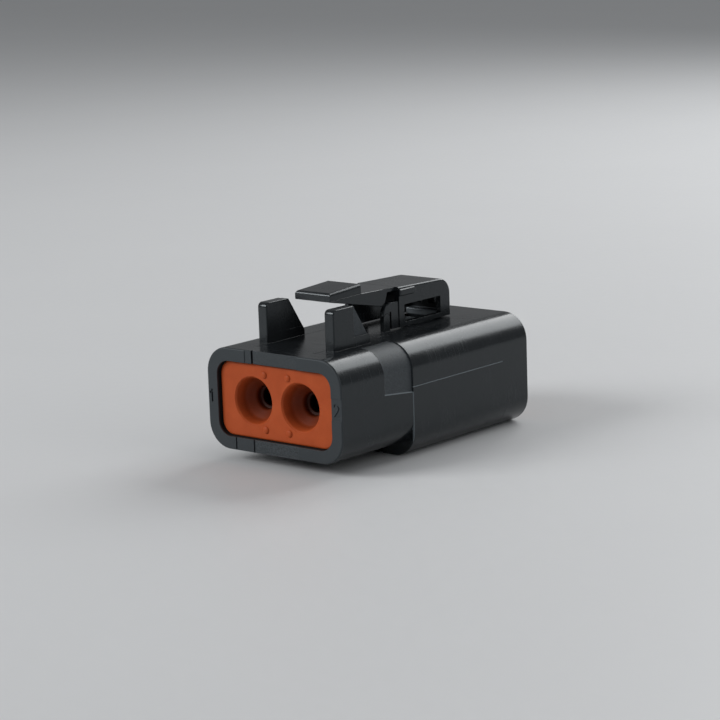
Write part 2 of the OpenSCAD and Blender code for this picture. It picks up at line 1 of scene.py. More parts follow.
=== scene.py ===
"""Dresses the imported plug: a sealed two-way power connector of black plastic.

Blender counts in metres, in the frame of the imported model: X across the plug, +Y from the
wire face to the mating face, +Z up from the plane that it rests on. The shapes below are
given in millimetres, with Y counted from the wire face.
"""
import json
import math

import bpy
from mathutils import Matrix, Vector

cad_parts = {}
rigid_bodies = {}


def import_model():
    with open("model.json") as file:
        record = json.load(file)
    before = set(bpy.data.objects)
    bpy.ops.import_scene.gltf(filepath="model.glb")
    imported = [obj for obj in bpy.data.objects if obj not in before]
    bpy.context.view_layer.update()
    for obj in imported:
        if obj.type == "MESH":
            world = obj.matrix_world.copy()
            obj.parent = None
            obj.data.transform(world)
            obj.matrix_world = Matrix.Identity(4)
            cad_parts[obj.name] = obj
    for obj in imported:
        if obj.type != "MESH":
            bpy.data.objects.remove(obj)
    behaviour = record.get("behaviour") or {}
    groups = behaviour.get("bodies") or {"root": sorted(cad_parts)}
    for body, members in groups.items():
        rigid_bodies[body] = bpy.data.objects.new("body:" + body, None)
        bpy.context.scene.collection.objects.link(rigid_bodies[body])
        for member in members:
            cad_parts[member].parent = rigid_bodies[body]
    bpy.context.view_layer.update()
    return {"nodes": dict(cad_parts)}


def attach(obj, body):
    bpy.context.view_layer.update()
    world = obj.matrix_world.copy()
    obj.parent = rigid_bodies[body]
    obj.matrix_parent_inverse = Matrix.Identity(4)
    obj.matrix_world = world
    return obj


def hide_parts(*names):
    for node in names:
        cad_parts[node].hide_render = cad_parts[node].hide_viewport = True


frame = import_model()
scene = bpy.context.scene

MM = 0.001
WIRE_FACE = -23.75
SIDES = (-1, 1)

# Shell: the rear section that takes the wires and the front section that takes the mating half.
REAR_W, REAR_H, REAR_R, REAR_Z = 27.9, 16.4, 4.2, 10.2
FRONT_W, FRONT_H, FRONT_R, FRONT_Z = 28.3, 18.4, 4.4, 9.2
STEP_Y, MOUTH_Y, DECK_Z = 17.2, 47.5, 18.4
DRAFT = 0.1

# Hollows of the shell, as width, height and corner radius, and where each starts or ends.
POCKET, POCKET_END = (23.7, 12.2, 2.4), 11
SKIRT_HOLLOW, HOLLOW_START = (24.9, 15.0, 2.7), 18.6
NOSE, NOSE_START, NOSE_END = (20.5, 10.6, 2.6), 18.4, 45.0
WEDGE_ROOM, WEDGE_ROOM_START = (17.5, 7.6, 1.1), 34.38
SLOT_X, SLOT_START, SLOT_LOW = 3.3, 35.6, 15.5
CONTACT_ROOM = ((-8.4, 10.5, 5.5), (8.4, 35, 12.9))
CONTACT_BLOCK = ((-8.6, 11.0, 5.3), (8.6, 34.4, 13.1))
OPEN_END = 1.5

# Guard ears: the span of each part on its side of the plug, and its outline seen from the
# side as (Y, height), in the order rear low, rear high, front high and front low.
EAR_IN, EAR_OUT, EAR_BACK, EAR_FRONT, EAR_TOP = 6.0, 7.9, 5.85, 10.6, 24.9
GUSSET_IN, GUSSET_OUT = 6.03, 7.45
GUSSET = [(10.2, 18.1), (10.2, 24.82), (11.15, 24.82), (15.5, 18.1)]
GUSSET_END = 14.75
FOOT_IN, FOOT_OUT = 6.01, 7.89
FOOT = [(10.0, 18.05), (10.0, 19.9), (14.4, 19.9), (14.77, 18.05)]
SEAM_IN, SEAM_OUT, SEAM_START, SEAM_END, SEAM_DEPTH = 5.82, 5.97, 3.2, 21.4, 0.12

# Shallow marks of the mould on the wire face: lower and upper corner of each.
MOULD_MARKS = (((-5.8, -1, 16.2), (-4.0, 0.08, 19)),
               ((-4.2, -1.1, 16.1), (5.0, 0.2, 19.1)),
               ((-4.45, -1.2, 16.0), (-4.15, 0.5, 19.2)),
               ((-8.2, -1, 1), (-4.2, 0.06, 4.2)),
               ((-4.4, -1.1, 0.9), (4.7, 0.12, 4.3)),
               ((-4.6, -1.2, 0.8), (-4.35, 0.22, 4.4)),
               ((-8.35, -1.2, 0.8), (-8.15, 0.2, 4.4)),
               ((11.7, -1, 9.2), (15, 0.1, 12.6)))

# Cavity numbers: digit, middle and foot of each, and the size and thickness of the strokes.
CAVITY_NUMBERS = (("1", -13.05, 9.35), ("2", 13.0, 9.75))
DIGIT_SIZE, DIGIT_DEPTH, DIGIT_SWELL = 3.0, 0.2, 0.03
FLAG_PLACE, FLAG_SIZE, FLAG_TILT = (-13.32, -0.05, 10.95), (0.26, 0.5, 0.72), 49

# Grip bands on the corners of the rear section, each over a ledge that slopes both ways.
BAND_Y, BAND_X, BAND_DEPTH, LEDGE_RISE = 10.3, 9.4, 0.12, 1.4
LEDGE_BACK, LEDGE_FRONT = 11.35, 10.6

# Parting line on the sides of the front section.
PARTING_START, PARTING_END, PARTING_LOW, PARTING_HIGH = 17.4, 40.5, 11.56, 11.6

# Bend line of the latch's flexible legs.
LEG_X, PIVOT_Y, PIVOT_Z = 3.85, 23.15, 20.6
LEG_BACK, LEG_FRONT, LEG_IN = 22.4, 23.9, 3.45

# Shading, in degrees: the turn past which an edge is sharp, and the widest turn over the
# smoothed faces round a point. The faces round the points are looked through so many times.
SMOOTH_TURN, WIDEST_FAN, SHARPEN_ROUNDS = 32, 48, 12

# How far apart, in millimetres, two lengths may be and still count as the same.
SAME = 0.03


def only(piece):
    """Makes one object the only selected and active one."""
    for other in bpy.context.view_layer.objects:
        other.select_set(False)
    bpy.context.view_layer.objects.active = piece
    piece.select_set(True)


def apply_place(piece):
    """Bakes an object's place and turn into its mesh."""
    only(piece)
    bpy.ops.object.transform_apply(location=True, rotation=True, scale=True)


def apply_all(piece):
    """Applies every modifier of a piece."""
    only(piece)
    for modifier in list(piece.modifiers):
        bpy.ops.object.modifier_apply(modifier=modifier.name)


def dress(piece, body, material):
    """Gives a finished piece its material and the body it moves with."""
    piece.data.materials.clear()
    piece.data.materials.append(material)
    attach(piece, body)


def spot(x, y, z):
    """Place in Blender's metres of a point given in millimetres from the wire face."""
    return x * MM, (WIRE_FACE + y) * MM, z * MM


def measured(point):
    """Millimetres from the wire face of a mesh point."""
    return point / MM - Vector((0, WIRE_FACE, 0))


def at(value, place):
    """Tells whether a length in millimetres is the given one."""
    return abs(value - place) < SAME


def at_y(a, b, place):
    """Tells whether an edge lies in a plane across the plug."""
    return at(a.y, place) and at(b.y, place)


def at_x(a, b, place):
    """Tells whether an edge lies in a plane along the plug, on either side of the middle."""
    return at(abs(a.x), place) and at(abs(b.x), place)


def sided(side, near_x, far_x):
    """Lower and upper X of a span that is mirrored to one side of the middle."""
    return sorted((side * near_x, side * far_x))


def pick(piece, kind, numbers):
    """Starts edit mode with only the points or edges of these numbers selected."""
    only(piece)
    bpy.ops.object.mode_set(mode="EDIT")
    bpy.ops.mesh.select_mode(type=kind)
    bpy.ops.mesh.select_all(action="DESELECT")
    bpy.ops.object.mode_set(mode="OBJECT")
    parts = piece.data.vertices if kind == "VERT" else piece.data.edges
    for number in numbers:
        parts[number].select = True
    bpy.ops.object.mode_set(mode="EDIT")


def sharp_edges(piece, steep=38):
    """Lists the edges that turn by more than an angle in degrees, as (number, end, end)."""
    sides = {}
    for face in piece.data.polygons:
        for key in face.edge_keys:
            sides.setdefault(key, []).append(face.normal)
    found = []
    for edge in piece.data.edges:
        normals = sides.get(edge.key, [])
        if len(normals) == 2 and normals[0].angle(normals[1], 0) > math.radians(steep):
            a, b = (measured(piece.data.vertices[v].co) for v in edge.vertices)
            found.append((edge.index, a, b))
    return found


def round_edges(piece, width, segments, chosen):
    """Rounds the sharp edges that the test picks out by their two ends."""
    pick(piece, "EDGE", [number for number, a, b in sharp_edges(piece) if chosen(a, b)])
    bpy.ops.mesh.bevel(offset=width * MM, offset_type="OFFSET", segments=segments, profile=0.5,
                       affect="EDGES", clamp_overlap=False, miter_outer="ARC")
    bpy.ops.object.mode_set(mode="OBJECT")


def points_at(piece, chosen):
    """Numbers of the points that the test picks out by their place."""
    return [v.index for v in piece.data.vertices if chosen(measured(v.co))]


def move_points(piece, numbers, shift):
    """Moves some points of a piece by a number of millimetres."""
    pick(piece, "VERT", numbers)
    bpy.ops.transform.translate(value=[d * MM for d in shift])
    bpy.ops.object.mode_set(mode="OBJECT")


def merged(node, name):
    """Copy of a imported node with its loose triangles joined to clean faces."""
    piece = bpy.data.objects.new(name, frame["nodes"][node].data.copy())
    scene.collection.objects.link(piece)
    only(piece)
    bpy.ops.object.mode_set(mode="EDIT")
    bpy.ops.mesh.select_all(action="SELECT")
    bpy.ops.mesh.remove_doubles(threshold=0.02 * MM)
    bpy.ops.mesh.dissolve_limited(angle_limit=math.radians(0.6))
    bpy.ops.object.mode_set(mode="OBJECT")
    return piece


def steep_joins(piece, widest):
    """Edges to sharpen, each in a fan of smoothed faces round a point that turns too far."""
    mesh = piece.data
    faces_of_edge, edges_of_point = {}, {}
    for face in mesh.polygons:
        for key in face.edge_keys:
            faces_of_edge.setdefault(key, []).append(face.index)
    for edge in mesh.edges:
        for point in edge.vertices:
            edges_of_point.setdefault(point, []).append(edge)
    found = set()
    for edges in edges_of_point.values():
        soft = [(e, faces_of_edge.get(e.key, [])) for e in edges if not e.use_edge_sharp]
        soft = [(e, pair) for e, pair in soft if len(pair) == 2]
        group = {}
        for edge, (a, b) in soft:
            joined = group.get(a, {a}) | group.get(b, {b})
            for face in joined:
                group[face] = joined
        for edge, (a, b) in sorted(soft, key=lambda item: item[0].index):
            fan = group[a]
            normals = [mesh.polygons[f].normal for f in sorted(fan)]
            if any(n.angle(m, 0) > widest for n in normals for m in normals):
                turns = [(mesh.polygons[c].normal.angle(mesh.polygons[d].normal, 0), e.index)
                         for e, (c, d) in soft if c in fan]
                found.add(max(turns)[1])
    return found


def even_shading(piece):
    """Smooth shading in which the large flat faces stay flat up to their edges."""
    only(piece)
    bpy.ops.object.shade_smooth_by_angle(angle=math.radians(SMOOTH_TURN))
    for attempt in range(SHARPEN_ROUNDS):
        numbers = steep_joins(piece, math.radians(WIDEST_FAN))
        if not numbers:
            break
        pick(piece, "EDGE", numbers)
        bpy.ops.mesh.mark_sharp()
        bpy.ops.object.mode_set(mode="OBJECT")
    weigh = piece.modifiers.new("shading", "WEIGHTED_NORMAL")
    weigh.mode = "FACE_AREA"
    weigh.weight = 50
    weigh.keep_sharp = True
    apply_all(piece)


def combine(piece, other, operation):
    """Adds another solid to a piece or cuts it out, and clears it away."""
    join = piece.modifiers.new("join", "BOOLEAN")
    join.operation = operation
    join.solver = "EXACT"
    join.object = other
    apply_all(piece)
    bpy.data.objects.remove(other)


def cut(piece, other):
    """Takes the room of another solid out of a piece."""
    combine(piece, other, "DIFFERENCE")


def add(piece, other):
    """Makes another solid one with a piece."""
    combine(piece, other, "UNION")


def slab(name, width, height, radius, y0, y1, mid_z):
    """Block along the plug with four rounded long edges."""
    bpy.ops.mesh.primitive_cube_add(size=1, location=spot(0, (y0 + y1) / 2, mid_z),
                                    scale=(width * MM, (y1 - y0) * MM, height * MM))
    block = bpy.context.active_object
    block.name = name
    apply_place(block)
    round_edges(block, radius, 12, lambda a, b: abs(a.y - b.y) > 0.5 * (y1 - y0))
    return block


def outlined(name, x0, x1, corners):
    """Solid between two planes along the plug, with four corners (Y, height) in its side
    view: rear low, rear high, front high and front low."""
    low_y, high_y = min(c[0] for c in corners), max(c[0] for c in corners)
    low_z, high_z = min(c[1] for c in corners), max(c[1] for c in corners)
    bpy.ops.mesh.primitive_cube_add(
        size=1, location=spot((x0 + x1) / 2, (low_y + high_y) / 2, (low_z + high_z) / 2),
        scale=((x1 - x0) * MM, (high_y - low_y) * MM, (high_z - low_z) * MM))
    solid = bpy.context.active_object
    solid.name = name
    apply_place(solid)
    starts = ((low_y, low_z), (low_y, high_z), (high_y, high_z), (high_y, low_z))
    pairs = [points_at(solid, lambda e: abs(e.y - y) < 0.001 and abs(e.z - z) < 0.001)
             for y, z in starts]
    for pair, (y, z), (to_y, to_z) in zip(pairs, starts, corners):
        if abs(to_y - y) + abs(to_z - z) > 0:
            move_points(solid, pair, (0, to_y - y, to_z - z))
    return solid


def box(name, low, high):
    """Plain block between two corners."""
    return outlined(name, low[0], high[0], [(low[1], low[2]), (low[1], high[2]),
                                            (high[1], high[2]), (high[1], low[2])])


def turned(name, x, mid_z, profile, sides=96):
    """Solid of revolution about a line along the plug, from (Y, radius) pairs."""
    y, radius = profile[0]
    centre = list(spot(x, y, mid_z))
    bpy.ops.mesh.primitive_circle_add(vertices=sides, radius=radius * MM, fill_type="NGON",
                                      location=centre, rotation=(math.pi / 2, 0, 0))
    solid = bpy.context.active_object
    solid.name = name
    apply_place(solid)
    bpy.ops.object.mode_set(mode="EDIT")
    bpy.ops.mesh.select_all(action="SELECT")
    for next_y, next_radius in profile[1:]:
        step = (0, (next_y - y) * MM, 0)
        bpy.ops.mesh.extrude_region_move(TRANSFORM_OT_translate={"value": step})
        centre[1] = (WIRE_FACE + next_y) * MM
        ratio = next_radius / radius
        if abs(ratio - 1) > 1e-6:
            bpy.ops.transform.resize(value=(ratio, 1, ratio), center_override=centre)
        y, radius = next_y, next_radius
    bpy.ops.mesh.select_all(action="SELECT")
    bpy.ops.mesh.normals_make_consistent(inside=False)
    bpy.ops.object.mode_set(mode="OBJECT")
    return solid


def eased(corners, radius, steps=4):
    """Profile whose inner corners are rounded by a soft curve of about the given radius."""
    out = [corners[0]]
    for before, corner, after in zip(corners, corners[1:], corners[2:]):
        before, corner, after = Vector(before), Vector(corner), Vector(after)
        back, ahead = before - corner, after - corner
        reach = min(radius, 0.45 * back.length, 0.45 * ahead.length)
        start, end = corner + back.normalized() * reach, corner + ahead.normalized() * reach
        for i in range(steps + 1):
            t = i / steps
            out.append(tuple(start * (1 - t) ** 2 + corner * 2 * t * (1 - t) + end * t ** 2))
    out.append(corners[-1])
    return out


def leg_round(side, radius, length):
    """Cylinder across the plug on the bend line of one flexible leg."""
    bpy.ops.mesh.primitive_cylinder_add(
        vertices=48, radius=radius * MM, depth=length * MM, rotation=(0, math.pi / 2, 0),
        location=spot(side * LEG_X, PIVOT_Y, PIVOT_Z))
    solid = bpy.context.active_object
    apply_place(solid)
    return solid


class Finish:
    """A node material with short ways to add and join its nodes."""

    def __init__(self, name):
        self.material = bpy.data.materials.new(name)
        self.material.use_nodes = True
        self.tree = self.material.node_tree
        self.shader = self.tree.nodes["Principled BSDF"]
        coords = self.tree.nodes.new("ShaderNodeTexCoord")
        self.coords = coords.outputs["Object"]
        split = self.tree.nodes.new("ShaderNodeSeparateXYZ")
        self.join(self.coords, split.inputs[0])
        self.x, self.y, self.z = split.outputs

    def join(self, value, socket):
        """Links a node's output to a socket, or sets the socket to a plain value."""
        if isinstance(value, bpy.types.NodeSocket):
            self.tree.links.new(value, socket)
        else:
            socket.default_value = value

    def node(self, kind, values, output, **settings):
        """Adds a node with its settings and input values, and gives one of its outputs."""
        node = self.tree.nodes.new(kind)
        for name, setting in settings.items():
            setattr(node, name, setting)
        for socket, value in values.items():
            self.join(value, node.inputs[socket])
        return node.outputs[output]

    def math(self, operation, a, b=0.0):
        """Works out one value from two, or from the first alone."""
        return self.node("ShaderNodeMath", {0: a, 1: b}, 0, operation=operation)

    def both(self, *masks):
        """Product of masks."""
        product = masks[0]
        for mask in masks[1:]:
            product = self.math("MULTIPLY", product, mask)
        return product

    def either(self, a, b):
        """Higher of two masks."""
        return self.math("MAXIMUM", a, b)

    def without(self, mask):
        """Turns a mask round."""
        return self.math("SUBTRACT", 1.0, mask)

    def ramp(self, value, low, high):
        """Rises softly from 0 to 1 where value, in metres, passes two limits in millimetres."""
        return self.node("ShaderNodeMapRange",
                         {"Value": value, "From Min": low * MM, "From Max": high * MM},
                         "Result", interpolation_type="SMOOTHSTEP")

    def between(self, value, low, high, soft=0.04):
        """1 where value, in metres, lies between two limits in millimetres, with soft sides."""
        rise = self.ramp(value, low - soft, low + soft)
        fall = self.ramp(value, high - soft, high + soft)
        return self.math("SUBTRACT", rise, fall)

    def along(self, low, high, soft=0.04):
        """1 between two places along the plug, in millimetres from the wire face."""
        return self.between(self.y, WIRE_FACE + low, WIRE_FACE + high, soft)

    def spread(self, value, low, high, to_low, to_high):
        """Carries a pattern from one range over to another."""
        return self.node("ShaderNodeMapRange",
                         {"Value": value, "From Min": low, "From Max": high,
                          "To Min": to_low, "To Max": to_high}, "Result")

    def noise(self, grain_mm, detail=3.0, rough=0.55, stretch=(1, 1, 1)):
        """Cloudy pattern whose blotches are about grain_mm across."""
        place = self.node("ShaderNodeMapping", {"Scale": stretch, "Vector": self.coords}, 0)
        return self.node("ShaderNodeTexNoise",
                         {"Scale": 1 / (grain_mm * MM), "Detail": detail,
                          "Roughness": rough, "Vector": place}, "Fac")

    def blend(self, factor, a, b):
        """Mixes two colours."""
        return self.node("ShaderNodeMix", {"Factor": factor, "A": a, "B": b}, "Result",
                         data_type="RGBA")

    def mix(self, factor, a, b):
        """Mixes two plain values."""
        return self.node("ShaderNodeMix", {"Factor": factor, "A": a, "B": b}, "Result",
                         data_type="FLOAT")

    def relief(self, height, depth_mm, strength, under=None):
        """Shading normal of a fine relief, laid over another one if that is given."""
        values = {"Strength": strength, "Distance": depth_mm * MM, "Height": height}
        if under is not None:
            values["Normal"] = under
        return self.node("ShaderNodeBump", values, "Normal")

    def soft_edge(self, radius_mm):
        """Shading normal that rounds small corners off."""
        return self.node("ShaderNodeBevel", {"Radius": radius_mm * MM}, "Normal", samples=6)

    def set(self, socket, value):
        """Links or sets an input of the material's shader."""
        self.join(value, self.shader.inputs[socket])


def black_plastic():
    """Glossy black moulding with a matte wire face and spark-eroded grain on the grip bands."""
    f = Finish("black_plastic")
    jet, charcoal = (0.0075, 0.009, 0.0105, 1), (0.0105, 0.0125, 0.0145, 1)
    streak_grey, matte_grey = (0.02, 0.0235, 0.027, 1), (0.026, 0.031, 0.035, 1)
    grain_dark, grain_light = (0.024, 0.028, 0.032, 1), (0.055, 0.063, 0.07, 1)
    patch_dark, patch_light = (0.012, 0.0145, 0.0165, 1), (0.05, 0.058, 0.064, 1)
    # Painted highlights: a light grey on the fine edges and a lighter grey on the bar across the
    # hood.
    lit_grey, bar_highlight_grey = (0.2, 0.23, 0.25, 1), (0.12, 0.135, 0.148, 1)
    deep_shade, cool_gleam = (0.002, 0.002, 0.002, 1), (0.88, 0.96, 1.0, 1)

    x_out = f.math("ABSOLUTE", f.x)
    z_out = f.math("ABSOLUTE", f.math("SUBTRACT", f.z, REAR_Z * MM))
    face = f.without(f.ramp(f.y, WIRE_FACE + 0.1, WIRE_FACE + 0.35))

    # Grip bands above their sloping ledges, and the grained inner sides of the ears.
    from_band = f.math("SUBTRACT", f.y, (WIRE_FACE + BAND_Y) * MM)
    above_ledge = f.math("ADD", f.z, f.math("MULTIPLY", from_band, 0.104))
    band = f.both(f.along(BAND_Y, STEP_Y), f.ramp(above_ledge, 11.35, 11.5),
                  f.ramp(x_out, 9.36, 9.44))
    gusset = f.both(f.along(10.6, 14.6), f.ramp(f.z, 19.85, 19.95),
                    f.between(x_out, 7.3, 7.75))
    grained = f.either(band, gusset)
    matte = f.either(grained, face)
    patch = f.both(f.between(f.x, -4.2, 5.0), f.ramp(z_out, 6.12, 6.2), face)

    # Places that hardly any light reaches: the seal's pocket and the room under the hood.
    pocket = f.both(f.without(f.ramp(x_out, 11.9, 12.1)), f.without(f.ramp(z_out, 6.15, 6.35)),
                    f.along(0.3, 11.2))
    in_hood = f.without(f.ramp(x_out, 3.5, 3.6))
    bar = f.both(f.along(36.9, 38.5), f.between(f.z, 18.6, 19.7))
    under_hood = f.both(f.along(26.6, 38.5), f.between(f.z, 18.9, 24.1), in_hood,
                        f.without(bar))
    shaded = f.either(pocket, f.both(under_hood, 0.8))

    # Fine edges that catch the light: the step, the ledges and the parting line.
    lit_step = f.both(f.along(STEP_Y - 0.06, STEP_Y + 0.06, 0.03),
                      f.without(f.ramp(f.z, 10.6, 10.8)))
    lit_ledge = f.both(f.along(BAND_Y, STEP_Y), f.between(above_ledge, 11.33, 11.5, 0.03))
    lit_line = f.both(f.along(STEP_Y, 40.6), f.between(f.z, 11.45, 11.59, 0.02))
    lit = f.both(f.either(f.either(lit_step, lit_ledge), lit_line), f.ramp(x_out, 13.7, 13.8))

    clouds = f.noise(6.0, 4.0)
    flow = f.noise(1.1, 3.0, 0.6, (0.12, 1, 0.12))
    specks = f.noise(0.16, 2.0, 0.7)
    grain = f.noise(0.19, 2.0, 0.6)
    streaks = f.noise(0.3, 4.0, 0.65, (0.07, 1, 0.07))
    grain_spots = f.spread(grain, 0.35, 0.65, 0.0, 1.0)

    shade = f.blend(f.spread(clouds, 0.3, 0.7, 0.0, 1.0), jet, charcoal)
    shade = f.blend(f.spread(streaks, 0.5, 0.75, 0.0, 0.35), shade, streak_grey)
    shade = f.blend(matte, shade, matte_grey)
    shade = f.blend(grained, shade, f.blend(grain_spots, grain_dark, grain_light))
    shade = f.blend(patch, shade, f.blend(grain_spots, patch_dark, patch_light))
    shade = f.blend(f.both(lit, 0.9), shade, lit_grey)
    # Painted highlight: the bar across the hood is set lighter grey, as if lamplight fell on it.
    shade = f.blend(f.both(bar, in_hood), shade, bar_highlight_grey)
    shade = f.blend(shaded, shade, deep_shade)
    f.set("Base Color", shade)
    f.set("Specular IOR Level", 0.4)
    f.set("Specular Tint", cool_gleam)
    f.set("IOR", 1.52)

    gloss = f.math("ADD", f.spread(clouds, 0.3, 0.7, 0.17, 0.24),
                   f.spread(specks, 0.55, 0.8, 0.0, 0.08))
    gloss = f.math("ADD", gloss, f.spread(streaks, 0.45, 0.75, 0.0, 0.08))
    gloss = f.mix(matte, gloss, f.spread(grain, 0.2, 0.8, 0.44, 0.58))
    f.set("Roughness", f.mix(shaded, gloss, 0.85))
    peel = f.relief(flow, 0.02, 0.2, f.soft_edge(0.06))
    coarse = f.either(grained, f.both(patch, 0.8))
    f.set("Normal", f.relief(f.both(grain, f.mix(coarse, 0.05, 1.0)), 0.06, 0.7, peel))
    return f.material


def seal_rubber():
    """Orange-red silicone, faintly clouded and dusted, with painted shade that darkens it down
    the wire passages.
    """
    f = Finish("seal_rubber")
    brick, orange_red, dust = (0.40, 0.068, 0.016, 1), (0.47, 0.086, 0.022, 1), (0.6, 0.2, 0.1, 1)
    funnel_shade, passage_shade = (0.07, 0.009, 0.002, 1), (0.004, 0.001, 0.0006, 1)
    clouds = f.noise(3.0, 4.0)
    grain = f.noise(0.2, 3.0, 0.6)
    wire_seal = f.without(f.ramp(f.y, 0, 2))
    funnel = f.both(wire_seal, f.ramp(f.y, WIRE_FACE + 0.9, WIRE_FACE + 3.4), 0.8)
    passage = f.both(wire_seal, f.ramp(f.y, WIRE_FACE + 3.2, WIRE_FACE + 5.2))
    shade = f.blend(f.spread(clouds, 0.3, 0.7, 0.0, 1.0), brick, orange_red)
    shade = f.blend(f.spread(grain, 0.62, 0.85, 0.0, 0.3), shade, dust)
    shade = f.blend(funnel, shade, funnel_shade)
    shade = f.blend(passage, shade, passage_shade)
    f.set("Base Color", shade)
    f.set("Roughness", f.spread(grain, 0.2, 0.8, 0.42, 0.58))
    f.set("Normal", f.relief(grain, 0.02, 0.35, f.relief(clouds, 0.05, 0.2)))
    f.set("Specular IOR Level", 0.22)
    f.set("IOR", 1.43)
    f.set("Subsurface Weight", 0.05)
    f.set("Subsurface Radius", (1.0, 0.3, 0.12))
    f.set("Subsurface Scale", 0.6 * MM)
    return f.material


def wedge_plastic():
    """Satin orange moulding of the wedge lock."""
    f = Finish("wedge_plastic")
    clouds = f.noise(4.0, 4.0)
    grain = f.noise(0.18, 2.0)
    f.set("Base Color", f.blend(clouds, (0.60, 0.17, 0.02, 1), (0.68, 0.21, 0.03, 1)))
    f.set("Roughness", f.spread(grain, 0.2, 0.8, 0.34, 0.5))
    f.set("Normal", f.relief(grain, 0.015, 0.3))
    return f.material


def plated_metal(name, colour, worn, line_stretch):
    """Plated or drawn metal with fine lines along the plug."""
    f = Finish(name)
    lines = f.noise(0.05, 2.0, 0.6, (1, line_stretch, 1))
    clouds = f.noise(1.5, 3.0)
    f.set("Base Color", f.blend(clouds, colour, worn))
    f.set("Metallic", 1.0)
    f.set("Roughness", f.spread(lines, 0.2, 0.8, 0.18, 0.34))
    f.set("Normal", f.relief(lines, 0.004, 0.4))
    return f.material


def pale_floor():
    """Plain pale floor, a little uneven in tone and gloss."""
    f = Finish("pale_floor")
    f.set("Base Color", f.blend(f.noise(40.0, 3.0), (0.70, 0.71, 0.72, 1), (0.72, 0.73, 0.74, 1)))
    f.set("Roughness", f.spread(f.noise(2.0), 0.3, 0.7, 0.42, 0.5))
    return f.material


def rear_section():
    """Rear section with its draft, its rounded wire face and the sunk grip bands."""
    rear = slab("housing_moulding", REAR_W, REAR_H, REAR_R, 0, STEP_Y + 0.2, REAR_Z)
    round_edges(rear, 0.25, 4, lambda a, b: at_y(a, b, 0))
    for side in SIDES:
        drafted = points_at(rear, lambda e: e.y > STEP_Y and side * e.x > 5)
        move_points(rear, drafted, (side * DRAFT, 0, 0))
    band_out, band_top, band_end = 15, 19.4, STEP_Y + 0.3
    for side in SIDES:
        low, high = sided(side, BAND_X, band_out)
        band = outlined("grip_band", low, high, [(BAND_Y, LEDGE_BACK), (BAND_Y, band_top),
                                                 (band_end, band_top), (band_end, LEDGE_FRONT)])
        feet = [(x, points_at(band, lambda e: at(abs(e.x), x) and e.z < 12))
                for x in (BAND_X, band_out)]
        for x, foot in feet:
            move_points(band, foot, (0, 0, LEDGE_RISE * (REAR_W / 2 - x)))
        cut(band, slab("band_core", REAR_W - 2 * BAND_DEPTH, REAR_H - 2 * BAND_DEPTH,
                       REAR_R - BAND_DEPTH, 8, 19, REAR_Z))
        cut(rear, band)
    return rear


def front_section():
    """Front section with the relief notches of its step and the parting line on its sides."""
    front = slab("front_section", FRONT_W, FRONT_H, FRONT_R, STEP_Y, MOUTH_Y, FRONT_Z)
    round_edges(front, 0.08, 2, lambda a, b: at_y(a, b, STEP_Y))
    round_edges(front, 0.3, 4, lambda a, b: at_y(a, b, MOUTH_Y))
    groove_depth, groove_out, groove_slope = 0.08, 15, 1.4
    for side in SIDES:
        low, high = sided(side, 6.3, 7.5)
        cut(front, box("relief_notch", (low, 16, -1), (high, STEP_Y + 0.8, 1.99)))
        low, high = sided(side, FRONT_W / 2 - groove_depth, groove_out)
        parting = box("parting_line", (low, PARTING_START, PARTING_LOW),
                      (high, PARTING_END, PARTING_HIGH))
        lower_lip = points_at(parting, lambda e: at(abs(e.x), groove_out) and e.z < 11.58)
        move_points(parting, lower_lip, (0, 0, -groove_slope))
        cut(front, parting)
    return front


def hollow_out(shell):
    """Cuts the seal's pocket and the mating hollow, and stands the nose in the hollow."""
    cut(shell, slab("seal_pocket", *POCKET, -1, POCKET_END, REAR_Z))
    cut(shell, slab("skirt_hollow", *SKIRT_HOLLOW, HOLLOW_START, MOUTH_Y + OPEN_END, FRONT_Z))
    nose = slab("nose", *NOSE, NOSE_START, NOSE_END, FRONT_Z)
    round_edges(nose, 0.3, 4, lambda a, b: at_y(a, b, NOSE_END))
    cut(nose, slab("wedge_room", *WEDGE_ROOM, WEDGE_ROOM_START, NOSE_END + 1, FRONT_Z))
    add(shell, nose)
    cut(shell, box("contact_room", *CONTACT_ROOM))
    cut(shell, box("hook_slot", (-SLOT_X, SLOT_START, SLOT_LOW), (SLOT_X, 39.9, 19.0)))
    cut(shell, box("ramp_channel", (-SLOT_X, SLOT_START, SLOT_LOW), (SLOT_X, 48.5, 17.5)))


def guard_ear(side):
    """Ear beside the thumb pad: a post, a sloping gusset behind it and a wider foot."""
    low, high = sided(side, EAR_IN, EAR_OUT)
    ear = outlined("ear", low, high, [(EAR_BACK, 18.0), (EAR_BACK, EAR_TOP),
                                      (EAR_FRONT, EAR_TOP), (EAR_FRONT, 18.0)])
    round_edges(ear, 0.8, 8, lambda a, b: at_y(a, b, EAR_BACK) and min(a.z, b.z) > 24)
    round_edges(ear, 0.22, 4, lambda a, b: at(abs(a.x), abs(b.x)) and max(a.z, b.z) > 18.5
                and max(a.y, b.y) < EAR_FRONT + 0.1 and not at_y(a, b, EAR_FRONT))
    low, high = sided(side, GUSSET_IN, GUSSET_OUT)
    add(ear, outlined("gusset", low, high, GUSSET))
    low, high = sided(side, FOOT_IN, FOOT_OUT)
    add(ear, outlined("ear_foot", low, high, FOOT))
    cut(ear, box("gusset_front", (low - 1, GUSSET_END, 17), (high + 1, 17, 20)))
    return ear


def leg_stub(side):
    """Lower half of a flexible leg, with a round end at the bend line."""
    low, high = sided(side, LEG_IN, 4.25)
    stub = box("leg_stub", (low, LEG_BACK, 18.0), (high, LEG_FRONT, PIVOT_Z))
    add(stub, leg_round(side, 0.75, 0.8))
    return stub


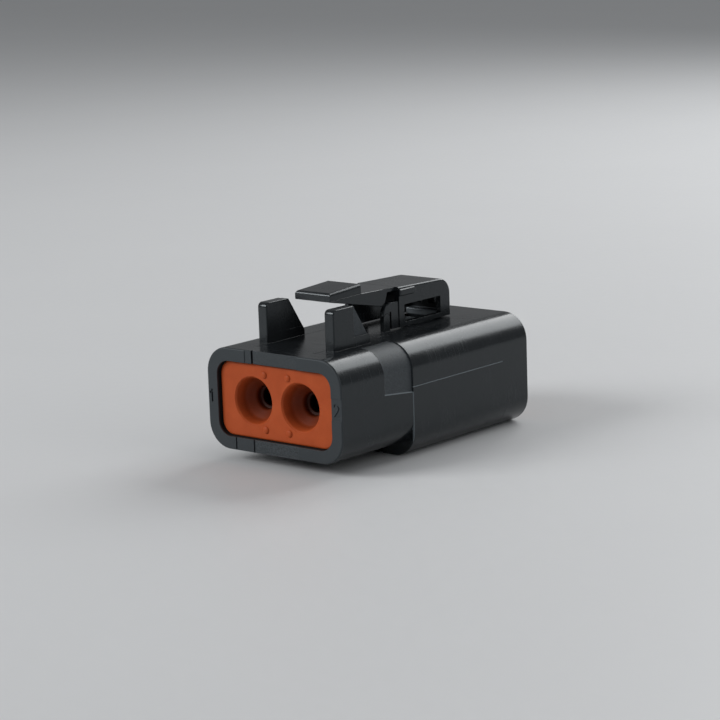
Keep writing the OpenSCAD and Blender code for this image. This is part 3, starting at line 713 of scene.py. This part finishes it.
def mark_wire_face(shell):
    """Cuts the shallow marks of the mould and the two cavity numbers."""
    for low, high in MOULD_MARKS:
        cut(shell, box("mould_mark", low, high))
    for digit, x, low in CAVITY_NUMBERS:
        bpy.ops.object.text_add(location=spot(x, 0.02, low), rotation=(math.pi / 2, 0, 0))
        stroke = bpy.context.active_object
        stroke.data.body = digit
        stroke.data.size = DIGIT_SIZE * MM
        stroke.data.extrude = DIGIT_DEPTH * MM
        stroke.data.offset = DIGIT_SWELL * MM
        stroke.data.align_x = "CENTER"
        only(stroke)
        bpy.ops.object.convert(target="MESH")
        apply_place(stroke)
        bpy.ops.object.mode_set(mode="EDIT")
        bpy.ops.mesh.select_all(action="SELECT")
        bpy.ops.mesh.remove_doubles(threshold=0.0005 * MM)
        bpy.ops.mesh.normals_make_consistent(inside=False)
        bpy.ops.object.mode_set(mode="OBJECT")
        cut(shell, stroke)
    # The plain 1 is a bare bar, so its flag is a cut of its own.
    bpy.ops.mesh.primitive_cube_add(size=1, location=spot(*FLAG_PLACE),
                                    rotation=(0, math.radians(FLAG_TILT), 0),
                                    scale=[length * MM for length in FLAG_SIZE])
    flag = bpy.context.active_object
    apply_place(flag)
    cut(shell, flag)


def build_housing():
    """Housing: both sections, their hollows, the nose, the ears, the leg stubs and the marks."""
    housing = rear_section()
    add(housing, front_section())
    hollow_out(housing)
    for side in SIDES:
        add(housing, guard_ear(side))
        low, high = sided(side, SEAM_IN, SEAM_OUT)
        cut(housing, box("foot_seam", (low, SEAM_START, DECK_Z - SEAM_DEPTH),
                         (high, SEAM_END, DECK_Z + 1)))
        add(housing, leg_stub(side))
    mark_wire_face(housing)
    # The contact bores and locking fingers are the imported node's own, cut out of a copy of it.
    inner = merged("housing", "contact_block")
    combine(inner, box("contact_room", *CONTACT_BLOCK), "INTERSECT")
    add(housing, inner)
    even_shading(housing)
    return housing


PAD_SIDE, ARM_SIDE, SHOULDER_SIDE, HOOD_SIDE = 3.63, 3.75, 4.25, 4.4
PAD_BACK, PAD_FRONT, HOOD_BACK, HOOD_FRONT = 10.1, 17.7, 26.2, 39.6
ARM_BACK, ARM_FRONT, ARM_LOW, RIDGE_Z = 10.25, 24.4, 25.25, 25.45
TOP_FALL, FALL_LENGTH = 0.55, 21.9
NECK_BACK, NECK_FRONT, NECK_TOP, NECK_LOW = 23.0, 26.4, 0.01, 0.6
HOOD_LOW, BAR_BACK, HOOK_FRONT, BEAD_SIDE, BEAD_END = 18.65, 37.0, 39.1, 4.75, 30.3
SPINE_SIDE = 0.6

# Outlines of the lever's parts and hollows seen from the side, in the same order as the ears'.
PAD = [(PAD_BACK, 25.2), (PAD_BACK, 26.53), (PAD_FRONT, 26.95), (PAD_FRONT, 25.3)]
ARM_HOLLOW = [(14.5, 23.9), (14.5, 24.25), (25.4, 24.02), (25.4, 21.2)]
HOOD_HOLLOW = [(25.2, 17), (25.2, 24.05), (38.4, 23.33), (38.4, 17)]
SPINE_REAR = [(19.2, 24.0), (19.2, 25.2), (21.8, 25.1), (21.8, 19.9)]
SPINE_AHEAD = [(21.75, 19.9), (21.75, 24.9), (32.6, 24.7), (32.6, 19.9)]


def lever_top(y):
    """Height of the lever's sloping top."""
    return RIDGE_Z - TOP_FALL * max(0, y - PAD_FRONT) / FALL_LENGTH


def lever_arm():
    """Arm from under the pad to the hood, with a ridge where its top starts to fall."""
    arm = outlined("arm", -ARM_SIDE, ARM_SIDE,
                   [(ARM_BACK, 25.1), (ARM_BACK, ARM_LOW), (ARM_FRONT, lever_top(ARM_FRONT)),
                    (23.2, 22.41)])
    only(arm)
    bpy.ops.object.mode_set(mode="EDIT")
    bpy.ops.mesh.select_all(action="SELECT")
    bpy.ops.mesh.bisect(plane_co=spot(0, PAD_FRONT, 0), plane_no=(0, 1, 0))
    bpy.ops.object.mode_set(mode="OBJECT")
    ridge = points_at(arm, lambda e: at(e.y, PAD_FRONT) and e.z > 24.5)
    share = (PAD_FRONT - ARM_BACK) / (ARM_FRONT - ARM_BACK)
    straight_top = ARM_LOW + (lever_top(ARM_FRONT) - ARM_LOW) * share
    move_points(arm, ridge, (0, 0, RIDGE_Z - straight_top))
    round_edges(arm, 0.12, 3, lambda a, b: at_x(a, b, ARM_SIDE) and abs(a.y - b.y) > 1
                and (a.y + b.y > 2 * PAD_FRONT or a.z + b.z < 50.0))
    cut(arm, outlined("arm_hollow", -2.65, 2.65, ARM_HOLLOW))
    return arm


def lever_neck():
    """Thin plate that joins the arm to the hood under the sloping top."""
    back, front = lever_top(NECK_BACK), lever_top(NECK_FRONT)
    return outlined("neck", -ARM_SIDE, ARM_SIDE,
                    [(NECK_BACK, back - NECK_LOW), (NECK_BACK, back - NECK_TOP),
                     (NECK_FRONT, front - NECK_TOP), (NECK_FRONT, front - NECK_LOW)])


def lever_hood():
    """Hollow hood with a window in each side, the bar across it, the hook and the side beads."""
    hood = outlined("hood", -HOOD_SIDE, HOOD_SIDE,
                    [(HOOD_BACK, HOOD_LOW), (HOOD_BACK, lever_top(HOOD_BACK)),
                     (HOOD_FRONT, lever_top(HOOD_FRONT)), (HOOD_FRONT, HOOD_LOW)])
    round_edges(hood, 2.6, 16, lambda a, b: at_y(a, b, HOOD_FRONT) and min(a.z, b.z) > 24)
    round_edges(hood, 0.36, 5, lambda a, b: at_x(a, b, HOOD_SIDE) and max(a.z, b.z) > 20
                and not at_y(a, b, HOOD_BACK))
    cut(hood, outlined("hood_hollow", -LEG_IN, LEG_IN, HOOD_HOLLOW))
    window = box("window", (-6, 27.5, 19.35), (6, 36.9, 22.2))
    round_edges(window, 0.15, 3, lambda a, b: abs(a.x - b.x) > 5)
    cut(hood, window)
    for side in SIDES:
        low, high = sided(side, 0.65, 2.5)
        cut(hood, box("wall_pocket", (low, 37.4, 20.35), (high, 39.2, 22.2)))
    bar = box("hook_bar", (-3.6, BAR_BACK, HOOD_LOW), (3.6, 38.6, 19.6))
    round_edges(bar, 0.22, 4, lambda a, b: at_y(a, b, BAR_BACK) and min(a.z, b.z) > 19)
    add(hood, bar)
    hook = box("hook", (-2.8, 37.05, 16.95), (2.8, HOOK_FRONT, 19.0))
    round_edges(hook, 0.9, 1, lambda a, b: at_y(a, b, HOOK_FRONT) and max(a.z, b.z) < 17)
    add(hood, hook)
    for side in SIDES:
        low, high = sided(side, 4.2, BEAD_SIDE)
        bead = box("bead", (low, HOOD_BACK, 23.7), (high, BEAD_END, 24.85))
        round_edges(bead, 0.56, 10, lambda a, b: at_y(a, b, BEAD_END) and abs(a.x - b.x) > 0.4)
        round_edges(bead, 0.25, 4, lambda a, b: at_x(a, b, BEAD_SIDE))
        add(hood, bead)
    return hood


def lever_shoulder(side):
    """Upper half of a flexible leg, cut away round the bend line so that it can rock."""
    low, high = sided(side, LEG_IN, SHOULDER_SIDE)
    shoulder = box("shoulder", (low, LEG_BACK, HOOD_LOW), (high, NECK_FRONT, 23.0))
    round_edges(shoulder, 1.9, 14, lambda a, b: at_y(a, b, LEG_BACK) and min(a.z, b.z) > 22)
    round_edges(shoulder, 0.16, 3, lambda a, b: at_x(a, b, SHOULDER_SIDE)
                and max(a.z, b.z) > 20 and min(a.y, b.y) < 26.3)
    cut(shoulder, box("under_leg", (low - 1, 21.0, 17.0), (high + 1, 24.3, PIVOT_Z)))
    cut(shoulder, box("leg_gap", (low - 1, LEG_FRONT, 20.0), (high + 1, 24.3, 21.5)))
    cut(shoulder, leg_round(side, 0.79, 4))
    return shoulder


def build_lever():
    """Latch lever: thumb pad, arm, neck, hood, two shoulders and the spine under the arm."""
    lever = outlined("lever_moulding", -PAD_SIDE, PAD_SIDE, PAD)
    round_edges(lever, 0.5, 5, lambda a, b: min(a.z, b.z) > 26
                and max(a.y, b.y) < PAD_FRONT + 0.1 and not at_y(a, b, PAD_FRONT))
    add(lever, lever_arm())
    add(lever, lever_neck())
    add(lever, lever_hood())
    for side in SIDES:
        add(lever, lever_shoulder(side))
    for outline in (SPINE_REAR, SPINE_AHEAD):
        add(lever, outlined("spine", -SPINE_SIDE, SPINE_SIDE, outline))
    even_shading(lever)
    return lever


SEAL_W, SEAL_H, SEAL_R, SEAL_FACE, SEAL_Z = 23.64, 12.14, 2.37, 0.74, 10.2
RIB_DEPTH, RIB_PITCH, BAND_FRONT, PASSAGE_X = 0.45, 2.7, 1.8, 4.9
LIP_R, CHAMBER_R, LIP_PLACES = 1.45, 1.95, (4.8, 7.1, 9.4)
BUMP_R, BUMP_X, BUMP_UP = 0.6, 2.45, 4.4
BLOCK_START, BLOCK_END, RIB_START, RIB_LENGTH = 1.5, 10.97, 0.5, 1.2


def wire_entry():
    """Profile of a wire passage: funnel, counterbore, outer lip and three lip chambers."""
    entry = [(0.4, 4.02), (SEAL_FACE, 4.02), (SEAL_FACE + 0.22, 3.74),
             (SEAL_FACE + 1.8, 3.35), (SEAL_FACE + 3.0, CHAMBER_R), (SEAL_FACE + 3.8, 1.9),
             (SEAL_FACE + 3.84, LIP_R)]
    for lip_y in LIP_PLACES:
        entry += [(SEAL_FACE + lip_y, LIP_R), (SEAL_FACE + lip_y + 0.05, CHAMBER_R),
                  (SEAL_FACE + lip_y + 1.25, CHAMBER_R), (SEAL_FACE + lip_y + 1.3, LIP_R)]
    return entry[:-2] + [(SEAL_FACE + 11.5, CHAMBER_R)]


def build_seal():
    """Wire seal: a ribbed block with two turned wire entries and four small bumps."""
    seal = slab("wire_seal_block", SEAL_W - 2 * RIB_DEPTH, SEAL_H - 2 * RIB_DEPTH,
                SEAL_R - RIB_DEPTH, BLOCK_START, BLOCK_END, SEAL_Z)
    band = slab("front_band", SEAL_W, SEAL_H, SEAL_R, SEAL_FACE, SEAL_FACE + BAND_FRONT, SEAL_Z)
    round_edges(band, 0.4, 5, lambda a, b: max(a.y, b.y) < SEAL_FACE + 0.01)
    add(seal, band)
    for i in range(3):
        rib_y = SEAL_FACE + RIB_START + (i + 1) * RIB_PITCH
        rib = slab("rib", SEAL_W, SEAL_H, SEAL_R, rib_y, rib_y + RIB_LENGTH, SEAL_Z)
        round_edges(rib, 0.35, 4, lambda a, b: abs(a.y - b.y) < 0.01)
        add(seal, rib)
    for side in SIDES:
        cut(seal, turned("entry", side * PASSAGE_X, SEAL_Z, eased(wire_entry(), 0.3)))
    for x in (-BUMP_X, BUMP_X):
        for z in (-BUMP_UP, BUMP_UP):
            bpy.ops.mesh.primitive_uv_sphere_add(
                segments=24, ring_count=16, radius=BUMP_R * MM, scale=(1, 0.5, 1),
                location=spot(x, SEAL_FACE, SEAL_Z + z))
            bump = bpy.context.active_object
            apply_place(bump)
            add(seal, bump)
    even_shading(seal)
    return seal


plastic = black_plastic()
silicone = seal_rubber()
orange = wedge_plastic()
nickel = plated_metal("nickel_plate", (0.70, 0.67, 0.60, 1), (0.62, 0.58, 0.50, 1), 0.1)
steel = plated_metal("drawn_steel", (0.58, 0.59, 0.61, 1), (0.50, 0.51, 0.53, 1), 0.04)

housing = build_housing()
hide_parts("housing")
dress(housing, "plug", plastic)

lever = build_lever()
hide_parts("latch_lever")
dress(lever, "lever", plastic)

seal = build_seal()
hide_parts("wire_seal")
dress(seal, "plug", silicone)

ring = merged("interface_seal", "nose_seal_ring")
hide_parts("interface_seal")
round_edges(ring, 0.25, 3, lambda a, b: abs(a.y - b.y) < 0.05)
even_shading(ring)
dress(ring, "plug", silicone)

wedge = merged("wedge_lock", "wedge_insert")
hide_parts("wedge_lock")
even_shading(wedge)
dress(wedge, "wedge", orange)

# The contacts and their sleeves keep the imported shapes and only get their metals.
for side in ("left", "right"):
    for node, finish in (("socket_contact_", nickel), ("socket_sleeve_", steel)):
        frame["nodes"][node + side].data.materials.clear()
        frame["nodes"][node + side].data.materials.append(finish)

bpy.ops.mesh.primitive_plane_add(size=8, location=(0, 0, 0))
floor = bpy.context.active_object
floor.name = "floor"
floor.data.materials.append(pale_floor())

SKY_COLOUR, SKY_STRENGTH = (0.86, 0.88, 0.90, 1), 0.26
world = bpy.data.worlds.new("studio")
scene.world = world
world.use_nodes = True
world.node_tree.nodes["Background"].inputs["Color"].default_value = SKY_COLOUR
world.node_tree.nodes["Background"].inputs["Strength"].default_value = SKY_STRENGTH

AIM = (0, 0, 0.01)


def softbox(name, place, size, watts):
    """Rectangular lamp that faces the plug. Its place and size are in metres."""
    data = bpy.data.lights.new(name, "AREA")
    data.shape = "RECTANGLE"
    data.size, data.size_y = size
    data.energy = watts
    lamp = bpy.data.objects.new(name, data)
    scene.collection.objects.link(lamp)
    way = Vector(AIM) - Vector(place)
    lamp.location = place
    lamp.rotation_mode = "QUATERNION"
    lamp.rotation_quaternion = way.to_track_quat("-Z", "Y")


softbox("back_box", (0.02, 0.55, 0.38), (0.5, 0.35), 2.3)
softbox("front_box", (-0.45, -0.64, 0.45), (0.45, 0.35), 4.5)
softbox("side_box", (0.50, 0.05, 0.30), (0.3, 0.3), 0.4)

# The camera's place and directions were fitted to the straight edges of the photograph.
CAMERA_PLACE = (0.256696, -0.304389, 0.093057)
CAMERA_FORWARD = (-0.63529817, 0.74686868, -0.19642662)
CAMERA_UP = (-0.10063376, 0.17211914, 0.97992237)
camera_data = bpy.data.cameras.new("camera")
camera_data.lens = 125
camera_data.sensor_width = 36
camera_data.clip_start = 0.01
camera_data.clip_end = 50
camera = bpy.data.objects.new("camera", camera_data)
scene.collection.objects.link(camera)
forward, up = Vector(CAMERA_FORWARD).normalized(), Vector(CAMERA_UP).normalized()
turn = Matrix((forward.cross(up).normalized(), up, -forward)).transposed()
camera.matrix_world = Matrix.Translation(CAMERA_PLACE) @ turn.to_4x4()
scene.camera = camera
scene.view_settings.view_transform = "Standard"
